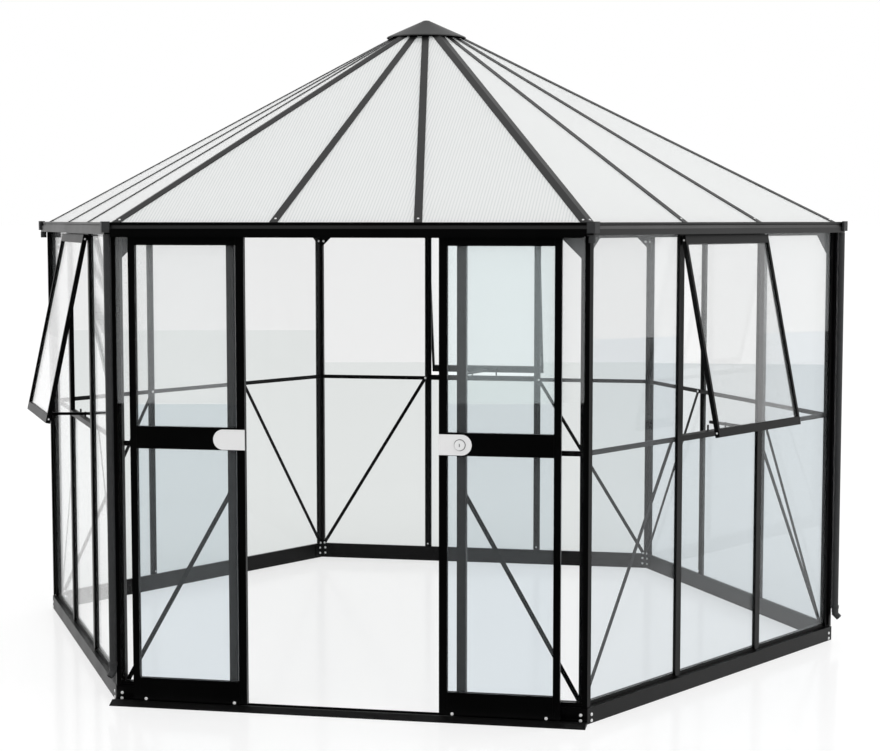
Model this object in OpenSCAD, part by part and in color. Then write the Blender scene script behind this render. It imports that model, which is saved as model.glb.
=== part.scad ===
// Hexagonal glass greenhouse: a black aluminium frame on a low base, glass walls, a roof of
// translucent twin-wall sheets under a round cap, a pair of sliding doors and three top-hung vents.
// The plan centre at ground level is the origin, the doors face -Y and +Z is up.

/* [House] */
// Length of each of the six walls, corner to corner at the foot
side = 1900; // [1700:10:2300]
// Height of the underside of the gutter above the ground
eaves_h = 1871; // [1700:1:2200]
// Pitch of the six roof facets, in degrees
roof_pitch = 30; // [24:1:36]
// Distance between the two glazing bars of a plain wall
bay_w = 620; // [540:5:700]
// Height of the girts above the ground
girt_z = 1030; // [940:5:1120]

/* [Base] */
// Height of the base rails
base_h = 80; // [65:1:110]
// Depth of the base rails, corner posts and eaves rails, from outside to inside
frame_d = 40; // [36:1:60]
// Height of each of the two ledges along the top of a base rail
ledge_h = 8; // [6:0.5:14]
// Set-back of the upper ledge behind the lower one
ledge_step = 2; // [1:0.5:4]

/* [Glazing frame] */
// Thickness of the wall glass
glass_t = 4; // [3:0.5:6]
// Width of the outer cap of a glazing bar
bar_w = 36; // [30:1:44]
// Thickness of the glazing bars' outer caps
cap_t = 10; // [6:0.5:12]
// Width of a corner post's outer ridge on each of its two walls
ridge_w = 20; // [17:1:26]
// Width of a corner post's shoulder and inner flange on each of its two walls
post_w = 36; // [33:1:50]
// Height of the eaves rail inside the wall head
eaves_rail_h = 12; // [10:1:30]
// Height of a girt
girt_h = 20; // [14:1:30]
// Width of a diagonal brace
brace_w = 18; // [12:1:24]
// Length of each leg of a corner gusset
gusset_l = 76; // [60:1:100]

/* [Gutter and downpipes] */
// Height of the gutter
gutter_h = 48; // [44:1:60]
// Reach of the gutter outside the base
gutter_out = 24; // [22:1:34]
// Outside diameter of a downpipe
pipe_d = 28; // [22:1:32]
// Height of the downpipe's elbow above the ground
pipe_foot_z = 123; // [113:1:240]

/* [Roof] */
// Thickness of the twin-wall roof sheets
sheet_t = 10; // [6:1:16]
// Height of the underside of the sheets above the gutter's underside, at the wall line
roof_lift = 26; // [14:1:28]
// Width of a hip bar over both of its wings
hip_w = 58; // [40:1:70]
// Width of an intermediate roof bar
roof_bar_w = 32; // [22:1:36]
// Radius of the round cap over the crown
crown_r = 185; // [175:1:260]

/* [Doors] */
// Clear width between the door jambs
doorway_w = 880; // [800:5:960]
// Width of each sliding leaf
leaf_w = 470; // [450:1:490]
// Distance from an open leaf's outer edge to the end of its wall
leaf_stop = 95; // [85:1:130]
// How far to the left of that place both open leaves stand
leaf_shift = 8; // [0:1:15]
// Thickness of a leaf's frame
leaf_t = 24; // [20:1:30]
// Width of a leaf's inner stile, where the leaves meet
stile_w = 32; // [28:1:38]
// Width of a leaf's outer stile
outer_stile_w = 27; // [22:1:38]
// Height of a leaf's middle rail
mid_rail_h = 88; // [80:1:120]
// Height of a leaf's kick rail
kick_rail_h = 89; // [75:1:120]
// Reach of the sill track in front of the base
sill_out = 80; // [72:1:110]

/* [Windows] */
// Angle at which the vents stand open, in degrees
vent_open = 12.2; // [4:0.1:25]
// Thickness of a vent's frame
vent_t = 20; // [16:1:26]
// Width of a vent's stiles
vent_stile_w = 12; // [10:0.5:20]
// Height of a vent's rails
vent_rail_h = 35; // [25:1:50]

/* [Hidden] */
$fn = 48;

// The six walls as turns anticlockwise from the doors, each with the corner at its right end
wall_angle = 60;
half_angle = wall_angle / 2;
front_wall = 0;
front_right_wall = wall_angle;
back_right_wall = 2 * wall_angle;
back_wall = 3 * wall_angle;
back_left_wall = 4 * wall_angle;
front_left_wall = 5 * wall_angle;
plain_walls = [front_right_wall, back_right_wall, back_wall, back_left_wall, front_left_wall];
all_walls = concat([front_wall], plain_walls);
vent_walls = [front_right_wall, back_wall, front_left_wall];
pipe_corners = [front_right_wall, front_left_wall];
mitre = tan(half_angle);
apothem = side * cos(half_angle);

// Clearance where one piece seats on another, gap of a mitre, and how far cuts run past
seat_gap = 0.3;
joint_gap = 0.4;
overrun = 5;

// Depths inside the base's outer face: the posts' ridge and the door wall's glass, the bars' caps and
// the other walls' glass, the flanges, and what lies behind them
ridge_y = 3;
ridge_t = 4;
slot_y = ridge_y + ridge_t;
front_glass_y = slot_y + seat_gap;
cap_y = front_glass_y + glass_t + seat_gap;
groove_y = cap_y + cap_t;
glass_y = groove_y + seat_gap;
glass_back_y = glass_y + glass_t;
flange_y = glass_back_y + seat_gap;
flange_t = 3;
girt_t = 6;
girt_y = frame_d - girt_t;
bar_back_y = girt_y - seat_gap;
brace_t = 3;
brace_y = frame_d + seat_gap;

// Glazing bars and posts: web in the glass groove, stem behind the flange, edge room for the glass
bar_web_w = 8;
bar_flange_w = 24;
bar_stem_w = 10;
glass_edge = 1.5;
slot_w = 12;
post_web_w = 26;
ledge_fall = 2;
foot_lap = 15;
foot_z = base_h - foot_lap;
frame_z = base_h + seat_gap;
head_z = eaves_h - seat_gap;
rail_z = eaves_h - eaves_rail_h;
bar_top_z = rail_z - seat_gap;
eaves_chamfer = 5;
jamb_w = 35;
jamb_groove_w = 9;
jamb_x = doorway_w / 2;
post_x = side / 2 - post_w;
post_glass_x = side / 2 - post_web_w - glass_edge;
front_glass_x = side / 2 - slot_w - glass_edge;
bar_x = bay_w / 2;
bar_glass_inset = bar_web_w / 2 + glass_edge;
plate_t = 3;
plate_w = 52;
plate_margin = 8;

// Braces run from the post feet to the girts, and on the door wall to the jambs
brace_foot_rise = 4;
brace_foot_z = base_h + brace_foot_rise;
brace_foot_room = 5;
brace_foot_x = side / 2 - (brace_y + brace_t) * mitre - brace_foot_room - brace_w / 2;
brace_top_in = 12;
jamb_brace_drop = 145;
gusset_toe = 10;

// Gutter outline, from its lower face over the leaning band to the lip
gutter_t = 3;
gutter_face_h = 23;
gutter_band_in = 7;
gutter_lip_h = 9;
gutter_lip_out = 4;
cover_wing = 11;
cover_t = 10;
cover_lift = 7;
cover_h = 44;
outlet_t = 3;
outlet_in = 1;
spigot_l = 26;
pipe_t = 2;
pipe_r = pipe_d / 2;
pipe_stand = 0.5;
pipe_reach = side + pipe_r + pipe_stand;
elbow_tilt = 45;
elbow_l = 26;
collar_t = 1.5;
collar_rise = 6;
collar_h = 16;
clip_t = 3;
clip_h = 14;
clip_rise = 24;

// Roof: plan angle of the intermediate bars from a facet's middle line, and the slopes along the bars
bar_plan_angle = 10;
roof_z = eaves_h + roof_lift;
slant = apothem / cos(roof_pitch);
hip_angle = atan(tan(half_angle) * cos(roof_pitch));
bar_angle = atan(tan(bar_plan_angle) * cos(roof_pitch));
hip_slope = atan(tan(roof_pitch) * cos(half_angle));
hip_slant = side / cos(hip_slope);
hip_droop = asin(sin(half_angle) * sin(roof_pitch));
roof_cap_t = 2.5;
roof_web_w = 8;
roof_flange_t = 3;
roof_stem_w = 10;
roof_stem_d = 25;
hip_web_w = 10;
sheet_foot_y = 8;
roof_foot_y = 12;
stem_set_back = 6;
stem_foot_y = frame_d + stem_set_back;
crown_gap_r = 130;
sheet_top_r = 150;
sheet_top = sheet_top_r / cos(roof_pitch);
gutter_inset = 1;
gutter_back_y = frame_d - gutter_inset;
gutter_back_h = roof_lift + (gutter_back_y - gutter_t) * tan(roof_pitch) - seat_gap / cos(roof_pitch);

// Crown: a hub that the bars butt, and a shallow cone over their ends that rests on the hips
hip_top = (sheet_t + seat_gap + roof_cap_t) / cos(hip_droop);
ridge_lift = hip_top / cos(hip_slope);
hub_r = crown_gap_r - roof_stem_d * sin(roof_pitch);
hub_h = 55;
cap_lip_h = 6;
cap_wall = 4;
cap_top_r = 18;
cap_slope = 25;

// Doors: the leaves run in front of the base, their rollers on a rib of the sill track
leaf_back = 12;
leaf_front = leaf_back + leaf_t;
leaf_x = side / 2 - leaf_stop - leaf_w;
leaf_z = 20;
leaf_clear = 5;
track_t = 4;
leaf_top_z = eaves_h - seat_gap - track_t - leaf_clear;
top_rail_h = 32;
mid_rail_z = girt_z;
groove_w = glass_t + 2 * seat_gap;
groove_d = 8;
glass_bite = 7;
roller_r = 12;
roller_groove = 1.5;
roller_w = 10;
roller_inset = 52;
roller_room = 3;
axle_r = 4;
axle_rise = 5;
axle_z = leaf_z + axle_rise;
rib_w = 3;
rib_top_z = axle_z - roller_r + roller_groove - seat_gap;
rib_play = 1;
roller_groove_w = rib_w + 2 * rib_play;
sill_floor_h = 6;
sill_crest_h = 18;
sill_room = 10;
sill_crest_out = leaf_front + sill_room;
sill_wall = 4;
sill_nose_h = 3;
track_room = 14;
track_out = leaf_front + track_room;
track_drop = 10;
track_rise = 22;
track_inset = 20;
track_x = side / 2 - track_inset;
handle_w = 128;
handle_h = 82;
handle_t = 4;
lock_r = 20;
lock_h = 10;
lock_x = 82;

// Vents: hinged under the eaves against the bars' caps, over a sill above the girt
sill_h = 26;
sill_fall = 4;
sill_rise = 2;
vent_sill_z = girt_z + sill_rise;
hinge_drop = 9;
hinge_rail_h = 30;
vent_y = cap_y - seat_gap;
vent_z = eaves_h - hinge_drop;
vent_lap = 10;
vent_w = bay_w + 2 * vent_lap;
vent_foot_room = 10;
vent_l = vent_z - vent_sill_z - vent_foot_room;
bay_clear = bay_w / 2 - bar_w / 2 - seat_gap;
stay_w = 14;
stay_t = 4;
stay_z = vent_sill_z + sill_h + seat_gap;
stay_peg_r = 4;
stay_peg_h = 12;

frame_black = [0.10, 0.10, 0.105];
roof_grey = [0.27, 0.28, 0.28];
glass_tint = [0.80, 0.88, 0.90, 0.35];
sheet_white = [0.90, 0.93, 0.92, 0.8];
plate_grey = [0.80, 0.80, 0.80];
nylon_grey = [0.35, 0.35, 0.36];

// A wall's own frame: X along the wall, Y into the house from the base's outer face
module at_wall(wall) rotate([0, 0, wall]) translate([0, -apothem, 0]) children();

// The frame of the corner at a wall's right end: Y into the house from the base's outer corner
module at_corner(wall) rotate([0, 0, wall + half_angle]) translate([0, -side, 0]) children();

// A facet's own frame: X along the eaves, Y up the slope from the wall line, Z out of the sheets
module on_facet(wall) at_wall(wall) translate([0, 0, roof_z]) rotate([roof_pitch, 0, 0]) children();

// Vent frame: X along the wall, Z up to the hinge at 0, the vent's inner face at Y = 0
module at_vent(wall)
    at_wall(wall) translate([0, vent_y, vent_z]) rotate([-vent_open, 0, 0]) children();

module both_ends() {
    children();
    mirror([1, 0, 0]) children();
}

// Carries an outline of depth and height along the wall, centred
module along_wall(length)
    rotate([90, 0, 90]) translate([0, 0, -length / 2]) linear_extrude(length) children();

// Carries an outline of width and height inwards from depth y
module inwards(y, t) translate([0, y + t, 0]) rotate([90, 0, 0]) linear_extrude(t) children();

// The sixth of the plan that belongs to one wall, cut back by half a mitre gap
module wall_sector(h) {
    w = (apothem - joint_gap + side) * mitre;
    linear_extrude(h) polygon([[0, apothem - joint_gap], [-w, -side], [w, -side]]);
}

// A point of a corner outline: a along the wall from the corner, d deep
function across(a, d) = [-cos(half_angle) * a + sin(half_angle) * d, sin(half_angle) * a + cos(half_angle) * d];
function mirrored(p) = [-p[0], p[1]];
// An outline from its left half, whose first and last points lie on the mirror line
function folded(half) = concat(half, [for (i = [len(half) - 2:-1:1]) mirrored(half[i])]);
// An outline from one side of its points
function both_sides(half) = concat(half, [for (i = [len(half) - 1:-1:0]) mirrored(half[i])]);
function bent_strip(a, d0, d1) =
    folded([across(d0 * mitre, d0), across(a, d0), across(a, d1), across(d1 * mitre, d1)]);

// A bar w wide and t deep with a glass groove in its far edge, and in its near edge too if asked
function grooved(w, t, near = false) =
    let (low = (t - groove_w) / 2, high = (t + groove_w) / 2)
    concat([[0, 0], [w, 0], [w, low], [w - groove_d, low], [w - groove_d, high], [w, high], [w, t], [0, t]],
        near ? [[0, high], [groove_d, high], [groove_d, low], [0, low]] : []);

module pane(x0, x1, z0, z1, y = glass_y) translate([x0, y, z0]) cube([x1 - x0, glass_t, z1 - z0]);

// Base

// A rail whose ledges rise at depth ledge_y, in front of the glass
module base_rail(ledge_y) intersection() {
    along_wall(2 * side) polygon([
        [0, 0], [frame_d, 0], [frame_d, base_h], [ledge_y + ledge_step, base_h],
        [ledge_y + ledge_step, base_h - ledge_h], [ledge_y, base_h - ledge_h],
        [ledge_y, base_h - 2 * ledge_h], [0, base_h - 2 * ledge_h - ledge_fall]
    ]);
    wall_sector(base_h + overrun);
}

module base_rails() color(frame_black) {
    for (wall = plain_walls) at_wall(wall) base_rail(glass_y);
    at_wall(front_wall) difference() {
        base_rail(front_glass_y);
        translate([-doorway_w / 2, -overrun, -overrun])
            cube([doorway_w, frame_d + 2 * overrun, base_h + 2 * overrun]);
    }
}

module base_corner_plates() color(frame_black)
    for (wall = all_walls) at_corner(wall) translate([0, 0, plate_margin])
        linear_extrude(base_h - 2 * plate_margin)
            polygon(bent_strip(frame_d * mitre + plate_w, frame_d + seat_gap, frame_d + seat_gap + plate_t));

// Uprights

// The part of a shoulder that laps over one wall's base
module shoulder_foot() translate([0, 0, foot_z]) linear_extrude(foot_lap + overrun) polygon([
    across(cap_y * mitre, cap_y), across(post_w, cap_y), across(post_w, groove_y),
    across(groove_y * mitre, groove_y)
]);

// Outer ridge, slot, shoulder, glass groove and inner flange, mitred across the corner
module corner_posts() color(frame_black) {
    for (wall = all_walls) at_corner(wall) {
        translate([0, 0, frame_z]) linear_extrude(head_z - frame_z) polygon(folded([
            across(ridge_y * mitre, ridge_y), across(ridge_w, ridge_y), across(ridge_w, slot_y),
            across(slot_w, slot_y), across(slot_w, cap_y), across(post_w, cap_y), across(post_w, groove_y),
            across(post_web_w, groove_y), across(post_web_w, flange_y), across(post_w, flange_y),
            across(post_w, frame_d), across(frame_d * mitre, frame_d)
        ]));
        translate([0, 0, foot_z]) linear_extrude(foot_lap + overrun)
            polygon(bent_strip(ridge_w, ridge_y, slot_y));
    }
    for (wall = plain_walls) {
        at_corner(wall) shoulder_foot();
        at_corner(wall - wall_angle) mirror([1, 0, 0]) shoulder_foot();
    }
}

// A cap's tongue that laps over the base and ends in a half round
module foot_tongue(w) inwards(cap_y, cap_t) {
    translate([-w / 2, foot_z + w / 2]) square([w, foot_lap + overrun]);
    translate([0, foot_z + w / 2]) circle(d = w);
}

module glazing_bar() {
    cap = [[bar_w / 2, cap_y], [bar_w / 2, groove_y], [bar_web_w / 2, groove_y]];
    translate([0, 0, frame_z]) linear_extrude(bar_top_z - frame_z) polygon(both_sides(concat(cap, [
        [bar_web_w / 2, flange_y], [bar_flange_w / 2, flange_y], [bar_flange_w / 2, flange_y + flange_t],
        [bar_stem_w / 2, flange_y + flange_t], [bar_stem_w / 2, bar_back_y]
    ])));
    translate([0, 0, bar_top_z - overrun]) linear_extrude(head_z - bar_top_z + overrun)
        polygon(both_sides(concat(cap, [[bar_web_w / 2, glass_back_y]])));
    foot_tongue(bar_w);
}

module wall_bars() color(frame_black)
    for (wall = plain_walls) at_wall(wall) both_ends() translate([bar_x, 0, 0]) glazing_bar();

module door_jamb() {
    translate([0, 0, frame_z]) linear_extrude(bar_top_z - frame_z) polygon([
        [jamb_x, ridge_y], [jamb_x + jamb_w, ridge_y], [jamb_x + jamb_w, slot_y],
        [jamb_x + jamb_w - jamb_groove_w, slot_y], [jamb_x + jamb_w - jamb_groove_w, cap_y],
        [jamb_x + jamb_w, cap_y], [jamb_x + jamb_w, frame_d], [jamb_x, frame_d]
    ]);
    translate([jamb_x, ridge_y, bar_top_z - overrun])
        cube([jamb_w - jamb_groove_w, glass_back_y - ridge_y, head_z - bar_top_z + overrun]);
}

module door_jambs() color(frame_black) at_wall(front_wall) both_ends() door_jamb();

// Rails and bracing inside the walls

module window_sills() color(frame_black)
    for (wall = vent_walls) at_wall(wall) along_wall(2 * bay_clear) polygon([
        [cap_y, vent_sill_z], [bar_back_y, vent_sill_z], [bar_back_y, vent_sill_z + sill_h],
        [flange_y, vent_sill_z + sill_h], [cap_y, vent_sill_z + sill_h - sill_fall]
    ]);

module girts() color(frame_black) {
    girt_x = post_x - seat_gap;
    front_girt_x = jamb_x + jamb_w + seat_gap;
    for (wall = plain_walls) at_wall(wall) translate([-girt_x, girt_y, girt_z])
        cube([2 * girt_x, girt_t, girt_h]);
    at_wall(front_wall) both_ends() translate([front_girt_x, girt_y, girt_z])
        cube([girt_x - front_girt_x, girt_t, girt_h]);
}

// A flat bar with round ends between two points of the wall
module flat_brace(p, q) inwards(brace_y, brace_t) translate(p)
    rotate(atan2(q[1] - p[1], q[0] - p[0])) {
        length = norm(q - p);
        translate([0, -brace_w / 2]) square([length, brace_w]);
        circle(d = brace_w);
        translate([length, 0]) circle(d = brace_w);
    }

module braces() color(frame_black) {
    foot = [brace_foot_x, brace_foot_z];
    for (wall = plain_walls) at_wall(wall) both_ends()
        flat_brace(foot, [bar_x + brace_top_in, girt_z + girt_h / 2]);
    at_wall(front_wall) both_ends() flat_brace(foot, [jamb_x + jamb_w / 2, girt_z - jamb_brace_drop]);
}

module eaves_rails() color(frame_black)
    for (wall = all_walls) at_wall(wall) along_wall(2 * (post_x - seat_gap)) polygon([
        [flange_y, rail_z], [frame_d - eaves_chamfer, rail_z], [frame_d, rail_z + eaves_chamfer],
        [frame_d, head_z], [flange_y, head_z]
    ]);

module corner_gussets() color(frame_black)
    for (wall = all_walls) at_wall(wall) both_ends() inwards(brace_y, brace_t) {
        x = side / 2 - (brace_y + brace_t) * mitre - joint_gap;
        polygon([
            [x, head_z], [x - gusset_l, head_z], [x - gusset_l, head_z - gusset_toe],
            [x - gusset_toe, head_z - gusset_l], [x, head_z - gusset_l]
        ]);
    }

// Glass

module side_panes() both_ends() pane(bar_x + bar_glass_inset, post_glass_x, frame_z, head_z);

module plain_glass(wall) color(glass_tint) at_wall(wall) {
    side_panes();
    pane(-bar_x + bar_glass_inset, bar_x - bar_glass_inset, frame_z, head_z);
}

module vent_glass(wall) color(glass_tint) at_wall(wall) {
    side_panes();
    pane(-bar_x + bar_glass_inset, bar_x - bar_glass_inset, frame_z, vent_sill_z - seat_gap);
}

module front_glass() color(glass_tint) at_wall(front_wall) both_ends()
    pane(jamb_x + jamb_w - jamb_groove_w + glass_edge, front_glass_x, frame_z, head_z, front_glass_y);
module front_right_glass() vent_glass(front_right_wall);
module back_right_glass() plain_glass(back_right_wall);
module back_glass() vent_glass(back_wall);
module back_left_glass() plain_glass(back_left_wall);
module front_left_glass() vent_glass(front_left_wall);

// Gutter and downpipes

// A trough of three strips: the face with its leaning band and lip, the floor, and the back under the sheets
module gutters() color(frame_black)
    for (wall = all_walls) at_wall(wall) intersection() {
        band_y = gutter_band_in - gutter_out;
        band_h = gutter_h - gutter_lip_h;
        floor_y = gutter_t + seat_gap - gutter_out;
        translate([0, 0, eaves_h]) along_wall(2 * side) {
            polygon([
                [-gutter_out, 0], [-gutter_out, gutter_face_h], [band_y, band_h],
                [band_y - gutter_lip_out, band_h], [band_y - gutter_lip_out, gutter_h],
                [band_y + gutter_t, gutter_h], [band_y + gutter_t, band_h],
                [gutter_t - gutter_out, gutter_face_h], [gutter_t - gutter_out, 0]
            ]);
            translate([floor_y, 0]) square([gutter_back_y - gutter_t - seat_gap - floor_y, gutter_t]);
            translate([gutter_back_y - gutter_t, 0]) square([gutter_t, gutter_back_h]);
        }
        wall_sector(eaves_h + gutter_h + overrun);
    }

// A moulded cover on the face of each mitre, and an outlet with its spigot under the gutter's corner
module gutter_corners() color(frame_black)
    for (wall = all_walls) at_corner(wall) {
        out = gutter_out + seat_gap;
        translate([0, 0, eaves_h + cover_lift]) linear_extrude(cover_h)
            polygon(bent_strip(cover_wing, -out - cover_t, -out));
        translate([0, 0, head_z - outlet_t]) linear_extrude(outlet_t)
            polygon(bent_strip(cover_wing, -gutter_out, -outlet_in));
        translate([0, side - pipe_reach, head_z - outlet_t - spigot_l])
            cylinder(r = pipe_r, h = spigot_l + outlet_t);
    }

// Pipe and spout meet in a mitre, on the plane between their axes
module pipe_run(r, extra) translate([0, 0, pipe_foot_z]) {
    top_z = head_z - outlet_t - spigot_l - seat_gap;
    difference() {
        translate([0, 0, -r]) cylinder(r = r, h = r + top_z - pipe_foot_z + extra);
        rotate([-elbow_tilt / 2, 0, 0]) translate([-pipe_d, -pipe_d, -2 * pipe_d]) cube(2 * pipe_d);
    }
    difference() {
        rotate([180 - elbow_tilt, 0, 0]) translate([0, 0, -r]) cylinder(r = r, h = r + elbow_l + extra);
        rotate([-elbow_tilt / 2, 0, 0]) translate([-pipe_d, -pipe_d, 0]) cube(2 * pipe_d);
    }
}

module downpipes() color(frame_black)
    for (wall = pipe_corners) at_corner(wall) translate([0, side - pipe_reach, 0]) difference() {
        union() {
            pipe_run(pipe_r, 0);
            translate([0, 0, pipe_foot_z + collar_rise]) cylinder(r = pipe_r + collar_t, h = collar_h);
        }
        pipe_run(pipe_r - pipe_t, overrun);
    }

module pipe_clip(z) translate([0, side - pipe_reach, z]) difference() {
    ring_r = pipe_r + seat_gap + clip_t;
    tab_y = pipe_reach - side + ridge_y / cos(half_angle) - seat_gap;
    union() {
        cylinder(r = ring_r, h = clip_h);
        translate([-clip_h / 2, 0, 0]) cube([clip_h, tab_y, clip_h]);
    }
    translate([0, 0, -overrun]) cylinder(r = pipe_r + seat_gap, h = clip_h + 2 * overrun);
}

module pipe_clips() color(frame_black)
    for (wall = pipe_corners) at_corner(wall) pipe_clip(pipe_foot_z + clip_rise);

module door_head_track() color(frame_black) at_wall(front_wall) along_wall(2 * track_x) polygon([
    [0, head_z - track_t], [0, head_z], [track_t - track_out, head_z],
    [track_t - track_out, eaves_h + track_rise], [-track_out, eaves_h + track_rise],
    [-track_out, eaves_h - track_drop], [track_t - track_out, eaves_h - track_drop],
    [track_t - track_out, head_z - track_t]
]);

// Roof

// Cap, web, flange and stem of a roof bar, with its Y out of the sheets
function roof_bar_points(cap_half, web) = both_sides([
    [cap_half, sheet_t + seat_gap + roof_cap_t], [cap_half, sheet_t + seat_gap], [web / 2, sheet_t + seat_gap],
    [web / 2, -seat_gap]
]);
function roof_stem_points(flange_half) = both_sides([
    [roof_web_w / 2, overrun], [roof_web_w / 2, -seat_gap], [flange_half, -seat_gap],
    [flange_half, -seat_gap - roof_flange_t],
    [roof_stem_w / 2, -seat_gap - roof_flange_t], [roof_stem_w / 2, -roof_stem_d]
]);

// Carries an outline up a slope from y0 to y1
module up_slope(y0, y1) translate([0, y1, 0]) rotate([90, 0, 0]) linear_extrude(y1 - y0) children();

module roof_bar() {
    length = slant / cos(bar_angle);
    top = length - crown_gap_r / cos(roof_pitch);
    translate([0, -length, 0]) {
        up_slope(roof_foot_y, top) polygon(roof_bar_points(roof_bar_w / 2, roof_web_w));
        up_slope(stem_foot_y / cos(roof_pitch), top) polygon(roof_stem_points(roof_bar_w / 2));
    }
}

module roof_bars() color(roof_grey)
    for (wall = all_walls) on_facet(wall) both_ends()
        translate([0, slant, 0]) rotate([0, 0, bar_angle]) roof_bar();

// A hip's cap folds over both facets, so its wings and flanges droop to either side
module hip_bars() color(roof_grey)
    for (wall = all_walls) at_corner(wall) translate([0, 0, roof_z]) rotate([hip_slope, 0, 0]) {
        fall = tan(hip_droop);
        wing = hip_w / 2 * cos(hip_droop);
        low = (sheet_t + seat_gap) / cos(hip_droop);
        web = hip_web_w / 2;
        flange = roof_bar_w / 2;
        under = -seat_gap / cos(hip_droop);
        top = hip_slant - crown_gap_r / cos(hip_slope);
        up_slope(roof_foot_y, top) polygon(folded([
            [0, hip_top], [-wing, hip_top - wing * fall], [-wing, low - wing * fall], [-web, low - web * fall],
            [-web, under - web * fall], [0, under]
        ]));
        up_slope(stem_foot_y / sin(wall_angle) / cos(hip_slope), top) polygon(folded([
            [0, low], [-web, low - web * fall], [-web, under - web * fall], [-flange, under - flange * fall],
            [-flange, under - flange * fall - roof_flange_t], [-web, under - web * fall - roof_flange_t],
            [-web, -roof_stem_d], [0, -roof_stem_d]
        ]));
    }

// One triangular sheet between two radial lines of the facet, its sides set in from them
module roof_sheet(left_angle, left_in, right_angle, right_in) {
    low = sheet_foot_y;
    high = slant - sheet_top;
    function at(y, angle, inset) = [(slant - y) * tan(angle) + inset / cos(angle), y];
    linear_extrude(sheet_t) polygon([
        at(low, left_angle, left_in), at(low, right_angle, -right_in),
        at(high, right_angle, -right_in), at(high, left_angle, left_in)
    ]);
}

module facet_sheets(wall) color(sheet_white) on_facet(wall) {
    bar_in = roof_web_w / 2 + glass_edge;
    hip_in = hip_web_w / 2 + glass_edge;
    roof_sheet(-bar_angle, bar_in, bar_angle, bar_in);
    both_ends() roof_sheet(bar_angle, bar_in, hip_angle, hip_in);
}

module front_roof_sheets() facet_sheets(front_wall);
module front_right_roof_sheets() facet_sheets(front_right_wall);
module back_right_roof_sheets() facet_sheets(back_right_wall);
module back_roof_sheets() facet_sheets(back_wall);
module back_left_roof_sheets() facet_sheets(back_left_wall);
module front_left_roof_sheets() facet_sheets(front_left_wall);

// Height of the hips' ridge lines at radius r
function ridge_z(r) = roof_z + ridge_lift + (side - r) * tan(hip_slope);

module crown_hub() color(roof_grey) translate([0, 0, ridge_z(hub_r) - hub_h - cap_wall])
    cylinder(r = hub_r, h = hub_h);

module crown_cap() color(roof_grey) rotate_extrude() {
    lip_r = crown_r - cap_wall;
    lip_z = ridge_z(lip_r) + seat_gap;
    rim_z = lip_z + cap_lip_h;
    rise = (crown_r - cap_top_r) * tan(cap_slope);
    polygon([
        [crown_r, lip_z], [crown_r, rim_z], [cap_top_r, rim_z + rise], [0, rim_z + rise],
        [0, rim_z + rise - cap_wall], [cap_top_r, rim_z + rise - cap_wall], [lip_r, rim_z - cap_wall],
        [lip_r, lip_z]
    ]);
}

// Vents

module window_hinge_rails() color(frame_black)
    for (wall = vent_walls) at_wall(wall) translate([-bay_clear, cap_y, head_z - hinge_rail_h])
        cube([2 * bay_clear, glass_back_y - cap_y, hinge_rail_h]);

module window_stiles() color(frame_black)
    for (wall = vent_walls) at_vent(wall) both_ends() translate([vent_w / 2, -vent_t, -vent_l])
        linear_extrude(vent_l) mirror([1, 0, 0]) polygon(grooved(vent_stile_w, vent_t));

// A grooved rail that runs between two stiles, its groove upwards
module grooved_rail(length, w, t, near = false) along_wall(length) rotate(90)
    mirror([0, 1, 0]) polygon(grooved(w, t, near));

module window_rails() color(frame_black)
    for (wall = vent_walls) at_vent(wall) {
        length = vent_w - 2 * vent_stile_w - 2 * seat_gap;
        translate([0, -vent_t, -vent_l]) grooved_rail(length, vent_rail_h, vent_t);
        translate([0, -vent_t, 0]) mirror([0, 0, 1]) grooved_rail(length, vent_rail_h, vent_t);
    }

module window_panes() color(glass_tint)
    for (wall = vent_walls) at_vent(wall) {
        pane_w = vent_w - 2 * (vent_stile_w - glass_bite);
        pane_l = vent_l - 2 * (vent_rail_h - glass_bite);
        translate([-pane_w / 2, -vent_t / 2 - glass_t / 2, -(vent_l + pane_l) / 2]) cube([pane_w, glass_t, pane_l]);
    }

// A stay from the sill to the vent's lower rail, with the peg that holds it
module window_stays() color(frame_black)
    for (wall = vent_walls) at_wall(wall) {
        end_y = (vent_z - stay_z - stay_t) * tan(vent_open) - vent_y - seat_gap;
        translate([-stay_w / 2, -end_y, stay_z]) cube([stay_w, end_y + bar_back_y, stay_t]);
        translate([0, bar_back_y - stay_w / 2, stay_z]) cylinder(r = stay_peg_r, h = stay_peg_h);
    }

// Sliding doors: the right leaf is drawn, and the left one is its mirror image

module door_sill_track() color(frame_black) at_wall(front_wall) along_wall(side) polygon([
    [-seat_gap, 0], [-seat_gap, sill_crest_h], [-seat_gap - sill_wall, sill_crest_h],
    [-seat_gap - sill_wall, sill_floor_h], [(rib_w - leaf_t) / 2 - leaf_back, sill_floor_h],
    [(rib_w - leaf_t) / 2 - leaf_back, rib_top_z], [-(rib_w + leaf_t) / 2 - leaf_back, rib_top_z],
    [-(rib_w + leaf_t) / 2 - leaf_back, sill_floor_h], [sill_wall - sill_crest_out, sill_floor_h],
    [sill_wall - sill_crest_out, sill_crest_h], [-sill_crest_out, sill_crest_h],
    [-sill_out, sill_nose_h], [-sill_out, 0]
]);

// Leaf frame: X from the leaf's inner edge, Y from its outer face inwards
module at_leaf(left) at_wall(front_wall)
    mirror([left ? 1 : 0, 0, 0]) translate([leaf_x + (left ? leaf_shift : -leaf_shift), -leaf_front, 0])
        children();

module leaf_stiles() color(frame_black) translate([0, 0, leaf_z]) {
    h = leaf_top_z - leaf_z;
    linear_extrude(h) polygon(grooved(stile_w, leaf_t));
    translate([leaf_w, 0, 0]) linear_extrude(h) mirror([1, 0, 0]) polygon(grooved(outer_stile_w, leaf_t));
}

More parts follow.
